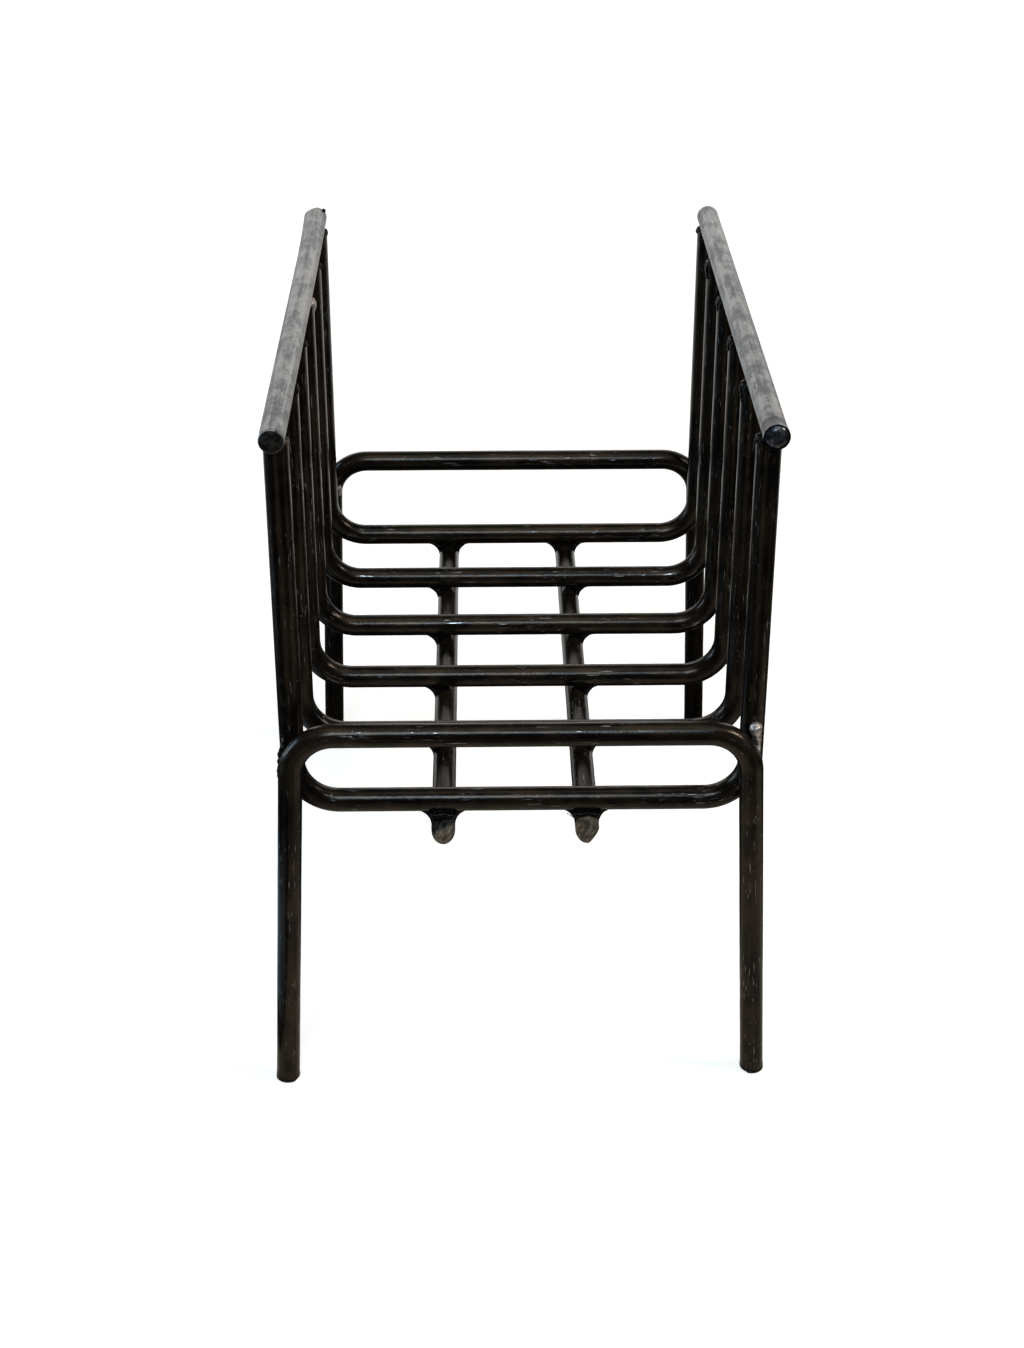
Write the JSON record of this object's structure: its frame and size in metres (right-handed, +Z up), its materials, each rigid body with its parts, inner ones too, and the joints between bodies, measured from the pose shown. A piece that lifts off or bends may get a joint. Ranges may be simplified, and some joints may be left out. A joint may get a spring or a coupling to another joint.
{
  "type": "firewood log rack",
  "caption": "Small free-standing firewood log rack, welded from round steel bar: U-shaped hoops between two leg frames, tied by runners below and a rail on each side.",
  "frame": {"origin": "middle of the rack's footprint, on the floor that its feet stand on", "axes": "+Z up, +Y from the front leg frame to the rear one, along the logs, +X to the right seen from the front"},
  "size_m": [0.2708, 0.3788, 0.3868],
  "materials": {
    "black_bar": "hot-rolled bar with dark mill scale, satin",
    "rail_bar": "hot-rolled bar with rubbed, greyer mill scale, satin",
    "weld_metal": "smooth dark weld metal with a satin shine"
  },
  "bodies": {
    "root": {"frame_weld_front_left": "weld_metal", "frame_weld_front_right": "weld_metal", "frame_weld_rear_left": "weld_metal", "frame_weld_rear_right": "weld_metal", "front_leg_frame": "black_bar", "hoop_1": "black_bar", "hoop_2": "black_bar", "hoop_3": "black_bar", "hoop_4": "black_bar", "hoop_5": "black_bar", "hoop_6": "black_bar", "left_runner": "black_bar", "left_top_rail": "rail_bar", "rail_weld_left_1": "weld_metal", "rail_weld_left_2": "weld_metal", "rail_weld_left_3": "weld_metal", "rail_weld_left_4": "weld_metal", "rail_weld_left_5": "weld_metal", "rail_weld_left_6": "weld_metal", "rail_weld_right_1": "weld_metal", "rail_weld_right_2": "weld_metal", "rail_weld_right_3": "weld_metal", "rail_weld_right_4": "weld_metal", "rail_weld_right_5": "weld_metal", "rail_weld_right_6": "weld_metal", "rear_leg_frame": "black_bar", "right_runner": "black_bar", "right_top_rail": "rail_bar", "runner_weld_left_1": "weld_metal", "runner_weld_left_1_inner": "weld_metal", "runner_weld_left_2": "weld_metal", "runner_weld_left_3": "weld_metal", "runner_weld_left_4": "weld_metal", "runner_weld_left_5": "weld_metal", "runner_weld_left_6": "weld_metal", "runner_weld_left_6_inner": "weld_metal", "runner_weld_right_1": "weld_metal", "runner_weld_right_1_inner": "weld_metal", "runner_weld_right_2": "weld_metal", "runner_weld_right_3": "weld_metal", "runner_weld_right_4": "weld_metal", "runner_weld_right_5": "weld_metal", "runner_weld_right_6": "weld_metal", "runner_weld_right_6_inner": "weld_metal"}
  },
  "joints": []
}
